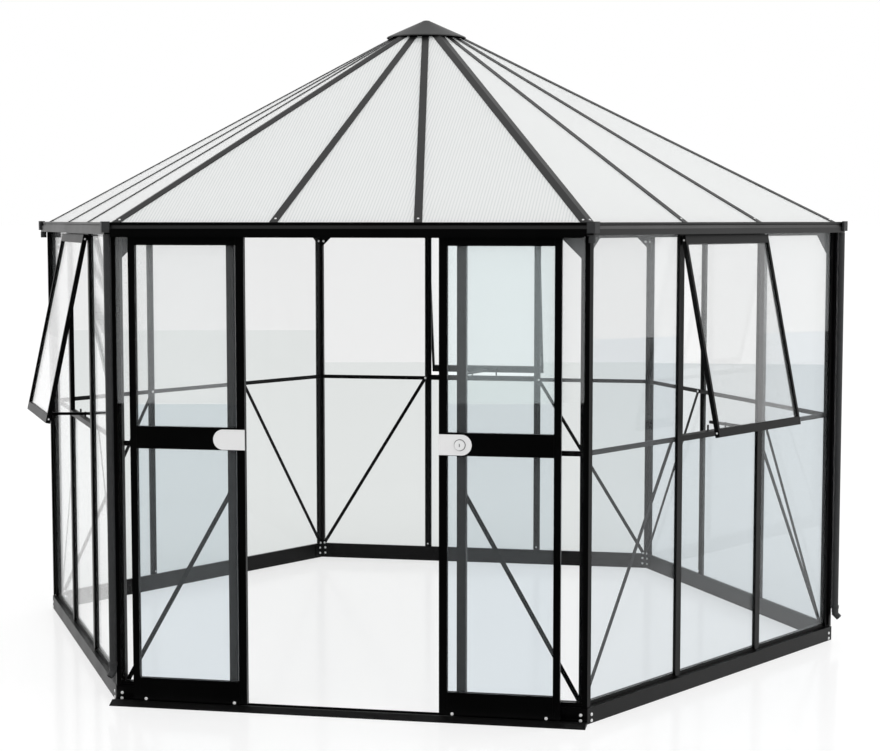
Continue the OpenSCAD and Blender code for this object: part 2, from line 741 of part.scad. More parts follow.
module leaf_rails() color(frame_black) {
    length = leaf_w - stile_w - outer_stile_w - 2 * seat_gap;
    middle = (leaf_w + stile_w - outer_stile_w) / 2;
    translate([middle, 0, leaf_top_z]) mirror([0, 0, 1]) grooved_rail(length, top_rail_h, leaf_t);
    translate([middle, 0, mid_rail_z]) grooved_rail(length, mid_rail_h, leaf_t, true);
    difference() {
        translate([middle, 0, leaf_z]) grooved_rail(length, kick_rail_h, leaf_t);
        for (x = [roller_inset, leaf_w - roller_inset]) translate([x, leaf_t / 2, axle_z]) {
            room = roller_r + roller_room;
            rotate([90, 0, 0]) cylinder(r = axle_r + seat_gap, h = leaf_t + 2 * overrun, center = true);
            translate([-room, -roller_w / 2 - roller_room / 2, -room])
                cube([2 * room, roller_w + roller_room, 2 * room]);
        }
    }
}

module leaf_panes() color(glass_tint) {
    x = stile_w - glass_bite;
    pane_w = leaf_w - outer_stile_w + glass_bite - x;
    kick_z = leaf_z + kick_rail_h - glass_bite;
    mid_z = mid_rail_z + mid_rail_h - glass_bite;
    for (zs = [[kick_z, mid_rail_z + glass_bite], [mid_z, leaf_top_z - top_rail_h + glass_bite]])
        translate([x, (leaf_t - glass_t) / 2, zs[0]]) cube([pane_w, glass_t, zs[1] - zs[0]]);
}

// Grooved wheels on the axles that pass through the kick rail
module leaf_rollers() color(nylon_grey)
    for (x = [roller_inset, leaf_w - roller_inset]) translate([x, leaf_t / 2, axle_z]) rotate([90, 0, 0]) {
        rotate_extrude() polygon([
            [0, -roller_w / 2], [roller_r, -roller_w / 2], [roller_r, -roller_groove_w / 2],
            [roller_r - roller_groove, -roller_groove_w / 2], [roller_r - roller_groove, roller_groove_w / 2],
            [roller_r, roller_groove_w / 2], [roller_r, roller_w / 2], [0, roller_w / 2]
        ]);
        cylinder(r = axle_r, h = leaf_t, center = true);
    }

module leaf_handle(lock) color(plate_grey) translate([0, 0, mid_rail_z + mid_rail_h / 2]) {
    inwards(-seat_gap - handle_t, handle_t) {
        translate([0, -handle_h / 2]) square([handle_w - handle_h / 2, handle_h]);
        translate([handle_w - handle_h / 2, 0]) circle(d = handle_h);
    }
    if (lock) translate([lock_x, -seat_gap - handle_t, 0]) rotate([90, 0, 0]) cylinder(r = lock_r, h = lock_h);
}

module left_door_stiles() at_leaf(true) leaf_stiles();
module left_door_rails() at_leaf(true) leaf_rails();
module left_door_panes() at_leaf(true) leaf_panes();
module left_door_rollers() at_leaf(true) leaf_rollers();
module left_door_handle() at_leaf(true) leaf_handle(false);
module right_door_stiles() at_leaf(false) leaf_stiles();
module right_door_rails() at_leaf(false) leaf_rails();
module right_door_panes() at_leaf(false) leaf_panes();
module right_door_rollers() at_leaf(false) leaf_rollers();
module right_door_handle() at_leaf(false) leaf_handle(true);

base_rails();
base_corner_plates();
door_sill_track();
corner_posts();
door_jambs();
wall_bars();
window_sills();
girts();
braces();
eaves_rails();
corner_gussets();
front_glass();
front_right_glass();
back_right_glass();
back_glass();
back_left_glass();
front_left_glass();
gutters();
gutter_corners();
downpipes();
pipe_clips();
door_head_track();
hip_bars();
roof_bars();
front_roof_sheets();
front_right_roof_sheets();
back_right_roof_sheets();
back_roof_sheets();
back_left_roof_sheets();
front_left_roof_sheets();
crown_hub();
crown_cap();
window_hinge_rails();
window_stiles();
window_rails();
window_panes();
window_stays();
left_door_stiles();
left_door_rails();
left_door_panes();
left_door_rollers();
left_door_handle();
right_door_stiles();
right_door_rails();
right_door_panes();
right_door_rollers();
right_door_handle();
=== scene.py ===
"""A hexagonal greenhouse: black aluminium frame, glass walls, twin-wall roof, sliding doors, open vents."""
import math

import bpy
import numpy as np
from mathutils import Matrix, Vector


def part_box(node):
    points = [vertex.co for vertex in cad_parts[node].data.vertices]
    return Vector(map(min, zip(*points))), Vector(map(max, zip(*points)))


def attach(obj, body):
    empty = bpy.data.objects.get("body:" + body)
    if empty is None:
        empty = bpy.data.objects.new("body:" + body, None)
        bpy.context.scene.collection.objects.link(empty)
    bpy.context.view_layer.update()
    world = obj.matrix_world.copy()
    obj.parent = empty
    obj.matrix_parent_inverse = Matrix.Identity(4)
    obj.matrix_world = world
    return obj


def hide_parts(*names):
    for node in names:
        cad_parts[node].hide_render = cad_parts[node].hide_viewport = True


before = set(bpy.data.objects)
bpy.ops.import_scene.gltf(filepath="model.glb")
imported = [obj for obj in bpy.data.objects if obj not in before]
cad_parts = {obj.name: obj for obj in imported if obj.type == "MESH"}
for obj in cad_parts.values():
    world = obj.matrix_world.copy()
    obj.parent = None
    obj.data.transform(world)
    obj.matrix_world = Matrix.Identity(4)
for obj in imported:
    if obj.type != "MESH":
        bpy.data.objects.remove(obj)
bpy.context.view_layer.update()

# Base rails: aluminium extrusions, powder coated satin black, mitred where two walls meet.
# Zinc plated button-head bolts hold each end to a bent plate in the corner.
sixth = math.pi / 3
sill_low, sill_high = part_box("door_sill_track")
side = sill_high.x - sill_low.x
apothem = side * math.cos(sixth / 2)
walls = np.arange(6)
outside, inside, upward = (0, -1, 0), (0, 1, 0), (0, 0, 1)


class Wire:
    """One output socket of a material. Arithmetic on wires and numbers adds Math nodes."""

    def __init__(self, tree, socket=None):
        self.tree = tree
        self.socket = socket

    def node(self, kind, settings, sockets, out=0):
        """A node of this kind: its settings first, then a value or a wire for each named input."""
        made = self.tree.nodes.new(kind)
        for name, value in settings.items():
            setattr(made, name, value)
        for key, value in sockets.items():
            if isinstance(value, Wire):
                self.tree.links.new(value.socket, made.inputs[key])
            else:
                made.inputs[key].default_value = value
        return Wire(self.tree, made.outputs[out]) if made.outputs else made

    def maths(self, operation, first, second):
        """A Math node on two wires or numbers."""
        return self.node("ShaderNodeMath", {"operation": operation}, {0: first, 1: second})

    def __add__(self, other):
        return self.maths("ADD", self, other)

    def __sub__(self, other):
        return self.maths("SUBTRACT", self, other)

    def __rsub__(self, other):
        return self.maths("SUBTRACT", other, self)

    def __mul__(self, other):
        return self.maths("MULTIPLY", self, other)

    def __pow__(self, other):
        return self.maths("POWER", self, other)

    __radd__ = __add__
    __rmul__ = __mul__

    def place(self, turn=0.0):
        """Object coordinates, turned about Z so that X runs along a wall."""
        own = self.node("ShaderNodeTexCoord", {}, {}, "Object")
        return self.node("ShaderNodeMapping", {}, {"Vector": own, "Rotation": (0, 0, -turn)})

    def grain(self, vector, scale, detail=2.0):
        """Noise about one over scale metres across."""
        sockets = {"Vector": vector, "Scale": scale, "Detail": detail}
        return self.node("ShaderNodeTexNoise", {}, sockets, "Fac")

    def blend(self, share, low, high):
        """A colour between two colours."""
        return self.node("ShaderNodeMix", {"data_type": "RGBA"}, {0: share, 6: low, 7: high}, 2)

    def bump(self, height, strength, distance):
        """A normal tilted by the slope of a height."""
        return self.node("ShaderNodeBump", {}, {"Strength": strength, "Distance": distance, "Height": height})

    def principled(self, **sockets):
        """The usual surface, its inputs named with underscores for spaces."""
        return self.node("ShaderNodeBsdfPrincipled", {}, {k.replace("_", " "): v for k, v in sockets.items()})

    def mix(self, share, first, second):
        """Two surfaces in one, the second by its share."""
        return self.node("ShaderNodeMixShader", {}, {0: share, 1: first, 2: second})

    def close(self, surface):
        """Gives the material its surface."""
        self.node("ShaderNodeOutputMaterial", {}, {"Surface": surface})


def finish(name):
    """A new empty material and its first wire."""
    material = bpy.data.materials.new(name)
    material.use_nodes = True
    material.node_tree.nodes.clear()
    return material, Wire(material.node_tree)


def powder_coat(name, dark, light, shine=0.19):
    """Satin powder coat: a fine orange-peel bump, and slow drifts of tone and gloss over the metre."""
    material, w = finish(name)
    at = w.place()
    drift = w.grain(at, 5.0)
    peel = w.grain(at, 900.0)
    w.close(w.principled(
        Base_Color=w.blend(drift, (*dark, 1), (*light, 1)),
        Roughness=0.34 + 0.12 * drift,
        Specular_IOR_Level=shine,
        Normal=w.bump(peel, 0.10, 0.0004),
    ))
    return material


def dress(material, *nodes):
    """Gives CAD nodes their finish."""
    for node in nodes:
        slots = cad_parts[node].data.materials
        slots.clear()
        slots.append(material)


def meshed(name, points, faces, material):
    """A mesh object at the origin, from an array of points and a list of faces."""
    mesh = bpy.data.meshes.new(name)
    mesh.from_pydata(np.asarray(points).tolist(), [], faces)
    mesh.materials.append(material)
    piece = bpy.data.objects.new(name, mesh)
    bpy.context.scene.collection.objects.link(piece)
    return piece


def put(name, points, faces, material, body, slot):
    """A mesh piece of the greenhouse, riding on a body."""
    piece = meshed(name, points, faces, material)
    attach(piece, body)
    return piece


def from_wall(wall, points):
    """Wall places (along, inward, up) to the house's frame: out to the apothem, then turned by sixths."""
    angle = wall * sixth
    along, inward, up = np.moveaxis(np.asarray(points, float), -1, 0)
    out = inward - apothem
    x = along * math.cos(angle) - out * math.sin(angle)
    y = along * math.sin(angle) + out * math.cos(angle)
    return np.stack((x, y, up), -1)


def both_ways(places):
    """Wall places and their mirror images about the wall's middle."""
    places = np.asarray(places, float)
    return np.concatenate((places, places * (-1, 1, 1)))


def repeated(from_part, places, outward, some=walls):
    """Places and one outward direction, repeated on several walls or corners, in the house's frame."""
    stood = np.concatenate([from_part(k, places) for k in some])
    ahead = np.concatenate([from_part(k, places + np.asarray(outward, float)) for k in some])
    return np.stack((stood, ahead - stood))


def skin(rings, count):
    """Faces over rings of count points: each ring joined to the next, and one face across either end."""
    row, column = np.meshgrid(np.arange(rings - 1), np.arange(count), indexing="ij")
    low = row * count + column
    after = row * count + (column + 1) % count
    quads = np.stack((low, after, after + count, low + count), -1).reshape(-1, 4).tolist()
    last = (rings - 1) * count
    return quads + [list(range(count))[::-1], list(range(last, last + count))]


def spun(profile, sides):
    """A profile of (radius, height) spun about Z in flat sides, closed by a face at either end."""
    radius, height = np.asarray(profile, float).T
    angle = np.arange(sides) * 2 * math.pi / sides
    x = radius[:, None] * np.cos(angle)
    y = radius[:, None] * np.sin(angle)
    z = np.broadcast_to(height[:, None], x.shape)
    return np.stack((x, y, z), -1).reshape(-1, 3), skin(len(radius), sides)


def joined(shapes):
    """Several shapes as one mesh: each one's faces count on from the points before it."""
    points, faces = zip(*shapes)
    starts = np.cumsum([0] + [len(some) for some in points]).tolist()
    counted_on = [[start + k for k in face] for start, some in zip(starts, faces) for face in some]
    return np.concatenate(points), counted_on


def copied(points, faces, places, outward):
    """One shape stood at many places, its Z along each outward direction: R p + place for all at once."""
    nearly_upright = 0.9
    z = np.asarray(outward, float)
    z = z / np.linalg.norm(z, axis=1, keepdims=True)
    helper = np.where(np.abs(z[:, 2:]) > nearly_upright, [[1.0, 0, 0]], [[0, 0, 1.0]])
    x = np.cross(helper, z)
    x = x / np.linalg.norm(x, axis=1, keepdims=True)
    axes = np.stack((x, np.cross(z, x), z), 1)
    moved = np.einsum("pi,kij->kpj", points, axes) + np.asarray(places)[:, None]
    return joined([(one, faces) for one in moved])


def bolts(name, places, outward, radius, body):
    """Button-head bolts: a low dome with a round socket, their flat backs on what they hold."""
    dome = np.array([(1, 0), (1, 0.18), (0.94, 0.36), (0.8, 0.5), (0.55, 0.58), (0.46, 0.6), (0.44, 0.3)])
    head = spun(dome * radius, small_sides)
    put(name, *copied(*head, places, outward), zinc, body, "black_aluminium")


black_tones = (0.0008, 0.0008, 0.0009), (0.0020, 0.0020, 0.0021)
black_coat = powder_coat("black_powder_coat", *black_tones)
zinc, w = finish("zinc_plate")
brushed = w.grain(w.place(), 300.0, 3.0)
w.close(w.principled(
    Base_Color=w.blend(brushed, (0.84, 0.85, 0.85, 1), (0.94, 0.94, 0.93, 1)),
    Metallic=0.15,
    Roughness=0.42 + 0.14 * brushed,
))
dress(black_coat, "base_rails", "base_corner_plates", "door_sill_track")
small_sides = 12
bolt_size, bolt_in = 0.0065, 0.026
high_bolt, low_bolt, sill_bolt = 0.035, 0.011, 0.014
sill_face = -0.0043
frame_deep, plate_thick = 0.040, 0.0033
plate_face = frame_deep + plate_thick
plate_bolt_in, plate_bolts = 0.043, (0.056, 0.026)
high_places = both_ways([(side / 2 - bolt_in, 0, high_bolt)])
low_places = both_ways([(side / 2 - bolt_in, 0, low_bolt)])
sill_places = both_ways([(side / 2 - bolt_in, sill_face, sill_bolt)])
plate_places = both_ways([(side / 2 - plate_bolt_in, plate_face, up) for up in plate_bolts])
bolts("base_bolts", *np.concatenate((
    repeated(from_wall, high_places, outside),
    repeated(from_wall, low_places, outside, walls[1:]),
    repeated(from_wall, sill_places, outside, walls[:1]),
    repeated(from_wall, plate_places, inside),
), axis=1), bolt_size, "house")

# Uprights: corner posts, door jambs and glazing bars, black extrusions with a groove for the glass.
# They stand on the base rails, the bars bolted at the foot from inside, and run up to the gutter.
dress(black_coat, "corner_posts", "door_jambs", "wall_bars", "window_sills")
bar_along, bar_back = 0.310, 0.0337
foot_bolt_high, foot_bolt_size = 0.095, 0.0045
foot_places = both_ways([(bar_along, bar_back, foot_bolt_high)])
bolts("bar_foot_bolts", *repeated(from_wall, foot_places, inside, walls[1:]), foot_bolt_size, "house")

# Girts and braces: flat bars across the inside of each wall, with a bolt through each end:
# at the foot of the post, at the girt beside a glazing bar, and on the door wall at the jamb.
dress(black_coat, "girts", "braces")
girt_low, girt_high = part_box("girts")
brace_foot = (0.911, plate_face, 0.084)
brace_head = (0.322, plate_face, (girt_low.z + girt_high.z) / 2)
jamb_end = (0.4575, plate_face, 0.885)
bolts("brace_bolts", *np.concatenate((
    repeated(from_wall, both_ways([brace_foot, brace_head]), inside, walls[1:]),
    repeated(from_wall, both_ways([brace_foot, jamb_end]), inside, walls[:1]),
), axis=1), bolt_size, "house")

# Eaves rails and gussets: a chamfered rail under the gutter and a cut plate in each upper corner, held by
# one bolt through the rail and one through the post. The plates are a little larger than those of the solids.
dress(black_coat, "eaves_rails", "corner_gussets")
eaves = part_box("gutters")[0].z
seat = 0.0003
gusset_leg, gusset_toe = 0.092, 0.010
gusset_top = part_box("corner_gussets")[1].z
gusset_end = side / 2 - plate_face * math.tan(sixth / 2)
gusset_outline = np.array([
    (0, 0), (gusset_leg, 0), (gusset_leg, gusset_toe), (gusset_toe, gusset_leg), (0, gusset_leg),
])
along, drop = gusset_outline.T
gusset = np.concatenate([
    np.stack((gusset_end - along, np.full_like(along, deep), gusset_top - drop), -1)
    for deep in (frame_deep + seat, plate_face)
])
gusset_faces = skin(2, len(gusset_outline))
gussets = put("gusset_plates", *joined([
    (from_wall(wall, gusset * (way, 1, 1)), [face[::-way] for face in gusset_faces])
    for wall in walls for way in (1, -1)
]), black_coat, "house", "black_aluminium")
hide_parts("corner_gussets")
post_bolt_in, post_bolt_drop = 0.042, 0.063
rail_bolt_in, rail_bolt_drop = 0.097, 0.010
gusset_places = both_ways([
    (side / 2 - post_bolt_in, plate_face, eaves - post_bolt_drop),
    (side / 2 - rail_bolt_in, plate_face, eaves - rail_bolt_drop),
])
bolts("gusset_bolts", *repeated(from_wall, gusset_places, inside), bolt_size, "house")


# Wall glass: float glass, four millimetres thick, set in the bars' grooves. Above a nearly level line each
# pane carries a painted white sheen standing for the bright surround, below it a painted blue-grey shade
# standing for the ground, and it mirrors when seen flat.
def clear_glass(name, wall, line, upper, upper_sheen, lower, lower_sheen, edge=5.0):
    """A tint and a share of painted white sheen above a line and another pair below it, under a mirror.

    The line is a height and a slope along the wall. The mirror grows by a power, edge, as it is seen flatter.
    """
    least_mirror, mirror_gain = 0.004, 0.96
    material, w = finish(name)
    at = w.place(wall * sixth)
    along = w.node("ShaderNodeSeparateXYZ", {}, {"Vector": at}, "X")
    height = w.node("ShaderNodeSeparateXYZ", {}, {"Vector": at}, "Z")
    line_high, line_slope = line
    below = w.maths("LESS_THAN", height - line_slope * along, line_high)
    facing = w.node("ShaderNodeLayerWeight", {}, {"Blend": 0.5}, "Facing")
    # Below the line the panes are tinted darker and bluer: painted shade from the ground seen through them.
    through = w.mix(
        below,
        w.node("ShaderNodeBsdfTransparent", {}, {"Color": (*upper, 1)}),
        w.node("ShaderNodeBsdfTransparent", {}, {"Color": (*lower, 1)}),
    )
    # A white diffuse layer over the glass: painted sheen standing for the bright surround's reflection.
    painted_sheen = w.node("ShaderNodeBsdfDiffuse", {}, {"Color": (0.92, 0.95, 0.96, 1)})
    ripple = 0.01 + 0.01 * w.grain(at, 3.0, 4.0)
    mirror = w.node("ShaderNodeBsdfGlossy", {}, {"Color": (1, 1, 1, 1), "Roughness": ripple})
    filmed = w.mix(upper_sheen + (lower_sheen - upper_sheen) * below, through, painted_sheen)
    w.close(w.mix(least_mirror + mirror_gain * facing ** edge, filmed, mirror))
    return material


# The tints are painted shade that differs from wall to wall, on most walls darker and bluer below the line.
door_line = (1.220, 0.0185)
# Each wall's panes: the wall, its line, the tint and painted sheen above the line, those below it, and the
# edge.
wall_glass = {
    "front_glass": (0, door_line, (0.998, 0.999, 0.999), 0.095, (0.993, 0.995, 0.996), 0.004),
    "front_right_glass": (1, (1.451, -0.0276), (0.956, 0.958, 0.958), 0.105, (0.908, 0.926, 0.938), 0.026),
    "back_right_glass": (2, (1.206, -0.069), (0.966, 0.967, 0.967), 0.04, (0.846, 0.863, 0.869), 0.015),
    "back_glass": (3, (1.132, -0.0143), (0.909, 0.910, 0.910), 0.04, (0.844, 0.856, 0.852), 0.015),
    "back_left_glass": (4, (1.344, 0.0453), (0.899, 0.900, 0.900), 0.04, (0.842, 0.855, 0.851), 0.015),
    "front_left_glass": (5, door_line, (0.995, 0.995, 0.995), 0.04, (0.995, 0.995, 0.995), 0.04, 7.0),
}
for node, look in wall_glass.items():
    dress(clear_glass(f"clear_{node}", *look), node)

# Gutter: an extruded trough round the eaves, and over the doors the track that keeps the leaves upright.
# The corner covers, the two downpipes, their clips and the pads behind them are dark plastic mouldings.
gutter_coat = powder_coat("gutter_powder_coat", *black_tones, shine=0.36)
dress(gutter_coat, "gutters")
dress(black_coat, "door_head_track")
moulding, w = finish("dark_moulding")
at = w.place()
mottle = w.grain(at, 40.0, 3.0)
w.close(w.principled(
    Base_Color=w.blend(mottle, (0.030, 0.031, 0.032, 1), (0.048, 0.049, 0.050, 1)),
    Roughness=0.42 + 0.12 * mottle,
    Specular_IOR_Level=0.25,
    Normal=w.bump(w.grain(at, 700.0), 0.15, 0.0003),
))
dress(moulding, "gutter_corners", "downpipes", "pipe_clips")
cube = np.array([(x, y, z) for x in (-1, 1) for y in (-1, 1) for z in (-1, 1)])
cube_faces = [[0, 1, 3, 2], [4, 6, 7, 5], [0, 4, 5, 1], [2, 3, 7, 6], [0, 2, 6, 4], [1, 5, 7, 3]]


def block(low, high):
    """The eight corners of a box between its lowest and its highest corner."""
    return (cube + 1) / 2 * np.subtract(high, low) + low


def from_corner(corner, points):
    """Places (across, inward, up) at the corner on a wall's right end, turned half a sixth further."""
    return from_wall(corner + 0.5, points - np.array((0, side - apothem, 0)))


pad_half, pad_thick, pad_gap = 0.005, 0.0033, 0.0036
pad = block((-pad_half, -seat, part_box("pipe_clips")[1].z), (pad_half, pad_thick, eaves - pad_gap))
for corner, place in ((1, "right"), (5, "left")):
    put(f"{place}_pipe_pad", from_corner(corner, pad), cube_faces, moulding, "house", "black_aluminium")

# Roof bars and hips: black extrusions whose caps hold the sheets down, each bolted near its foot,
# the hips through both wings.
# The roof coat is the black coat painted lighter: painted light from the bright sky on the roof bars, hips
# and hub.
roof_coat_painted_lit = powder_coat("roof_powder_coat_painted_lit", (0.011, 0.011, 0.0112), (0.015, 0.015, 0.0152))
dress(roof_coat_painted_lit, "hip_bars", "roof_bars")
pitch = math.radians(30)
sheet_rise = 0.026
sheet_foot = eaves + sheet_rise
cap_top = 0.0128
roof_bolt_size, bolt_up = 0.0048, 0.050
slant = apothem / math.cos(pitch)
bar_turn = math.radians(10)
fan = math.atan(math.tan(bar_turn) * math.cos(pitch))


def tilted(points, slope):
    """Roof places (across, up the slope, out of the sheets) to (across, inward, up): a turn by the slope."""
    across, along, out = np.moveaxis(np.asarray(points, float), -1, 0)
    inward = along * math.cos(slope) - out * math.sin(slope)
    return np.stack((across, inward, sheet_foot + along * math.sin(slope) + out * math.cos(slope)), -1)


def from_facet(wall, points):
    """Places on one facet: the wall's frame tilted by the pitch."""
    return from_wall(wall, tilted(points, pitch))


def from_hip(corner, points):
    """Places on the hip over a corner: the corner's frame tilted by the hip's slope."""
    return from_corner(corner, tilted(points, math.atan(math.tan(pitch) * math.cos(sixth / 2))))


reach = slant / math.cos(fan) - bolt_up
bar_places = both_ways([(reach * math.sin(fan), slant - reach * math.cos(fan), cap_top)])
droop = math.asin(math.sin(sixth / 2) * math.sin(pitch))
wing = 0.014
wing_top = cap_top / math.cos(droop) - wing * math.tan(droop)
wing_bolts = []
for way in (1, -1):
    wing_out = (way * math.sin(droop), 0, math.cos(droop))
    wing_bolts.append(repeated(from_hip, np.array([(way * wing, bolt_up, wing_top)]), wing_out))
bolts("roof_bolts", *np.concatenate((repeated(from_facet, bar_places, upward), *wing_bolts), axis=1),
      roof_bolt_size, "house")


# Roof sheets: clear twin-wall polycarbonate, ten millimetres thick. Its webs run up the slope and
# scatter the light, so the sheet looks milky with fine lines. The bars' caps clamp its edges.
def twin_wall(name, turn):
    """Milky sheet: a cosine of the place along the eaves draws the webs, and seen flat a painted sheen hides
    them.
    """
    web_pitch = 0.0125
    web_fade, cloud_share, glow_share = 2.4, 0.3, 0.25
    milk, web_grey, cloud_white = (0.985, 0.993, 0.988, 1), (0.72, 0.75, 0.745, 1), (0.93, 0.945, 0.94, 1)
    material, w = finish(name)
    at = w.place(turn)
    along = w.node("ShaderNodeSeparateXYZ", {}, {"Vector": at}, "X")
    wave = w.node("ShaderNodeMath", {"operation": "COSINE"}, {0: along * (2 * math.pi / web_pitch)})
    web = (0.5 + 0.5 * wave) ** 2.0
    facing = w.node("ShaderNodeLayerWeight", {}, {"Blend": 0.5}, "Facing")
    open_share = w.maths("MINIMUM", web_fade * (1.0 - facing), 1.0)
    cloud = w.grain(at, 2.5, 3.0)
    # The plain milky surface is a painted sheen standing for the outer skin's reflection, which hides the
    # webs.
    sheen, webbed = (
        w.principled(
            Base_Color=w.blend(cloud_share * cloud, tone, cloud_white),
            Roughness=0.28 + 0.2 * web,
            Specular_IOR_Level=0.5,
            Coat_Weight=1.0,
            Coat_Roughness=0.12,
            Normal=w.bump(web, 0.3, 0.0008),
        )
        for tone in (milk, w.blend(web, milk, web_grey))
    )
    glow = w.node("ShaderNodeBsdfTranslucent", {}, {"Color": (0.96, 0.97, 0.965, 1)})
    w.close(w.mix(glow_share, w.mix(open_share, sheen, webbed), glow))
    return material


facets = ["front", "front_right", "back_right", "back", "back_left", "front_left"]
for k, facet in enumerate(facets):
    dress(twin_wall(f"twin_wall_{facet}", k * sixth), f"{facet}_roof_sheets")

# Crown: a hub that the bars butt against, under a spun aluminium cap with a turned-down lip and a
# rounded top. The round cap stands in for the flat-sided one of the solids.
dress(roof_coat_painted_lit, "crown_hub")
# The cap's coat is the black coat painted lighter still: painted light from the sky on its upturned faces.
cap_coat_painted_lit = powder_coat("cap_powder_coat_painted_lit", (0.052, 0.053, 0.053), (0.068, 0.069, 0.069))
dress(cap_coat_painted_lit, "crown_cap")
cap_low, cap_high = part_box("crown_cap")
cap_reach, cap_wall, cap_sides = cap_high.x, 0.004, 96
cap_slope, cap_crease = math.radians(25), math.radians(28)
top_reach, top_round, inner_hole, rim_cut = 0.018, 0.004, 0.001, 0.002
rim = cap_high.z - (cap_reach - top_reach) * math.tan(cap_slope)
bend = np.radians(np.arange(5, 86, 10))
round_top = np.stack((top_reach * np.cos(bend), cap_high.z - top_round + top_round * np.sin(bend)), -1)
cover = spun([
    (inner_hole, cap_high.z - cap_wall), (top_reach, cap_high.z - cap_wall),
    (cap_reach - cap_wall, rim - cap_wall), (cap_reach - cap_wall, cap_low.z),
    (cap_reach, cap_low.z), (cap_reach, rim - rim_cut), (cap_reach - rim_cut, rim), *round_top,
], cap_sides)
crown_cover = put("crown_cover", *cover, cap_coat_painted_lit, "house", "roof_aluminium")
crown_cover.data.shade_smooth()
crown_cover.data.set_sharp_from_angle(angle=cap_crease)
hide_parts("crown_cap")

# Vents: glazed aluminium frames hung from a rail under the gutter, with a bolt at each end of the stiles.
# A stay swung to one side drops over one of two pegs on the sill. It is longer and deeper than the flat bar
# of the solids.
dress(black_coat, "window_hinge_rails", "window_stiles", "window_rails", "window_stays")
# The vent panes carry one tint and one share of painted white sheen, the same above and below the line.
vent_tint, vent_sheen, vent_edge = (0.930, 0.932, 0.932), 0.042, 3.5
vent_glass = clear_glass("vent_glass", 0, door_line, vent_tint, vent_sheen, vent_tint, vent_sheen, vent_edge)
dress(vent_glass, "window_panes")
vent_walls = {1: "right", 3: "back", 5: "left"}
vent_half, vent_long, vent_thick = 0.320, 0.820, 0.020
vent_open = math.radians(12.2)
hinge_in, hinge_drop = 0.0113, 0.009
hinge = np.array((0, hinge_in, eaves - hinge_drop))


def from_vent(wall, points):
    """Vent places (across, inward, down from the hinge): turned about the hinge line by the vent's angle."""
    across, inward, up = np.moveaxis(np.asarray(points, float), -1, 0)
    swung_in = inward * math.cos(vent_open) + up * math.sin(vent_open)
    swung_up = up * math.cos(vent_open) - inward * math.sin(vent_open)
    return from_wall(wall, np.stack((across, swung_in, swung_up), -1) + hinge)


stay_low, stay_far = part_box("window_stays")
stay_clear = 0.004
stay_reach = stay_far.y - apothem - stay_clear
stay_tail, stay_swing = 0.122, 0.085
stay_half, stay_foot, stay_top = 0.006, 0.008, 0.020
stay = block((-stay_half, -stay_reach, stay_low.z + stay_foot), (stay_half, stay_tail, stay_low.z + stay_top))
stay[:, 0] += stay_swing * (cube[:, 1] > 0)
peg_size, peg_tall, peg_back, free_peg = 0.004, 0.022, 0.007, -0.080
peg = spun([(peg_size, 0), (peg_size, peg_tall)], small_sides)
peg_in = bar_back - peg_back
held_peg = stay_swing * (peg_in + stay_reach) / (stay_tail + stay_reach)
peg_places = np.array([(held_peg, peg_in, stay_low.z), (free_peg, peg_in, stay_low.z)])
for wall, place in vent_walls.items():
    bar = put(f"{place}_stay", from_wall(wall, stay), cube_faces, black_coat, "house", "black_aluminium")
    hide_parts("window_stays")
    pegs = copied(*peg, *repeated(from_wall, peg_places, upward, [wall]))
    put(f"{place}_stay_pegs", *pegs, black_coat, "house", "black_aluminium")

vent_mid = -vent_thick / 2
vent_bolt_size, vent_bolt_in = 0.004, 0.018
for name, way in (("left", -1), ("right", 1)):
    high_end = (way * vent_half, vent_mid, -vent_bolt_in)
    low_end = (way * vent_half, vent_mid, vent_bolt_in - vent_long)
    ends = repeated(from_vent, np.array([high_end, low_end]), (way, 0, 0), list(vent_walls))
    bolts(f"vent_{name}_bolts", *ends, vent_bolt_size, "house")

# Doors: two framed leaves of the same extrusion, glazed above and below a wide middle rail.
# Each rolls along the sill track on two nylon rollers, whose axles end in bolts on the outer face.
leaf_face = -0.036
axle_high, axles_in = 0.025, (0.052, 0.418)
nylon, w = finish("dark_nylon")
grain = w.grain(w.place(), 700.0, 2.0)
w.close(w.principled(
    Base_Color=w.blend(grain, (0.05, 0.05, 0.052, 1), (0.08, 0.08, 0.083, 1)),
    Roughness=0.45 + 0.1 * grain,
))
# The door panes' tints are painted shade: darker and bluer below the line, and on the right leaf darker and
# bluer above it too. Each pane carries a share of painted white sheen.
door_lower_shade = (0.903, 0.930, 0.948)
left_glass = clear_glass("left_door_glass", 0, door_line, (0.998, 0.999, 0.999), 0.032, door_lower_shade, 0.033)
right_glass = clear_glass("right_door_glass", 0, door_line, (0.944, 0.977, 0.980), 0.052, door_lower_shade, 0.028)
dress(left_glass, "left_door_panes")
dress(right_glass, "right_door_panes")
left_in = -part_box("left_door_stiles")[1].x
right_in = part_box("right_door_stiles")[0].x
leaves = (("left_door", -1, left_in), ("right_door", 1, right_in))
for leaf, way, leaf_in in leaves:
    dress(black_coat, f"{leaf}_stiles", f"{leaf}_rails")
    dress(nylon, f"{leaf}_rollers")
    axles = np.array([(way * (leaf_in + axle), leaf_face, axle_high) for axle in axles_in])
    bolts(f"{leaf}_bolts", *repeated(from_wall, axles, outside, walls[:1]), bolt_size, leaf)

# Pull plates: pale mouldings with a straight inner edge, a half-round outer end and a bevelled rim, screwed
# to the middle rails. The right one's round lock has a dark ring of painted shadow and a painted shade for a
# key slot.
plate_grey, w = finish("moulded_plate")
grain = w.grain(w.place(), 500.0, 3.0)
w.close(w.principled(
    Base_Color=w.blend(grain, (0.79, 0.79, 0.79, 1), (0.86, 0.86, 0.86, 1)),
    Roughness=0.36 + 0.1 * grain,
    Normal=w.bump(grain, 0.1, 0.0002),
))


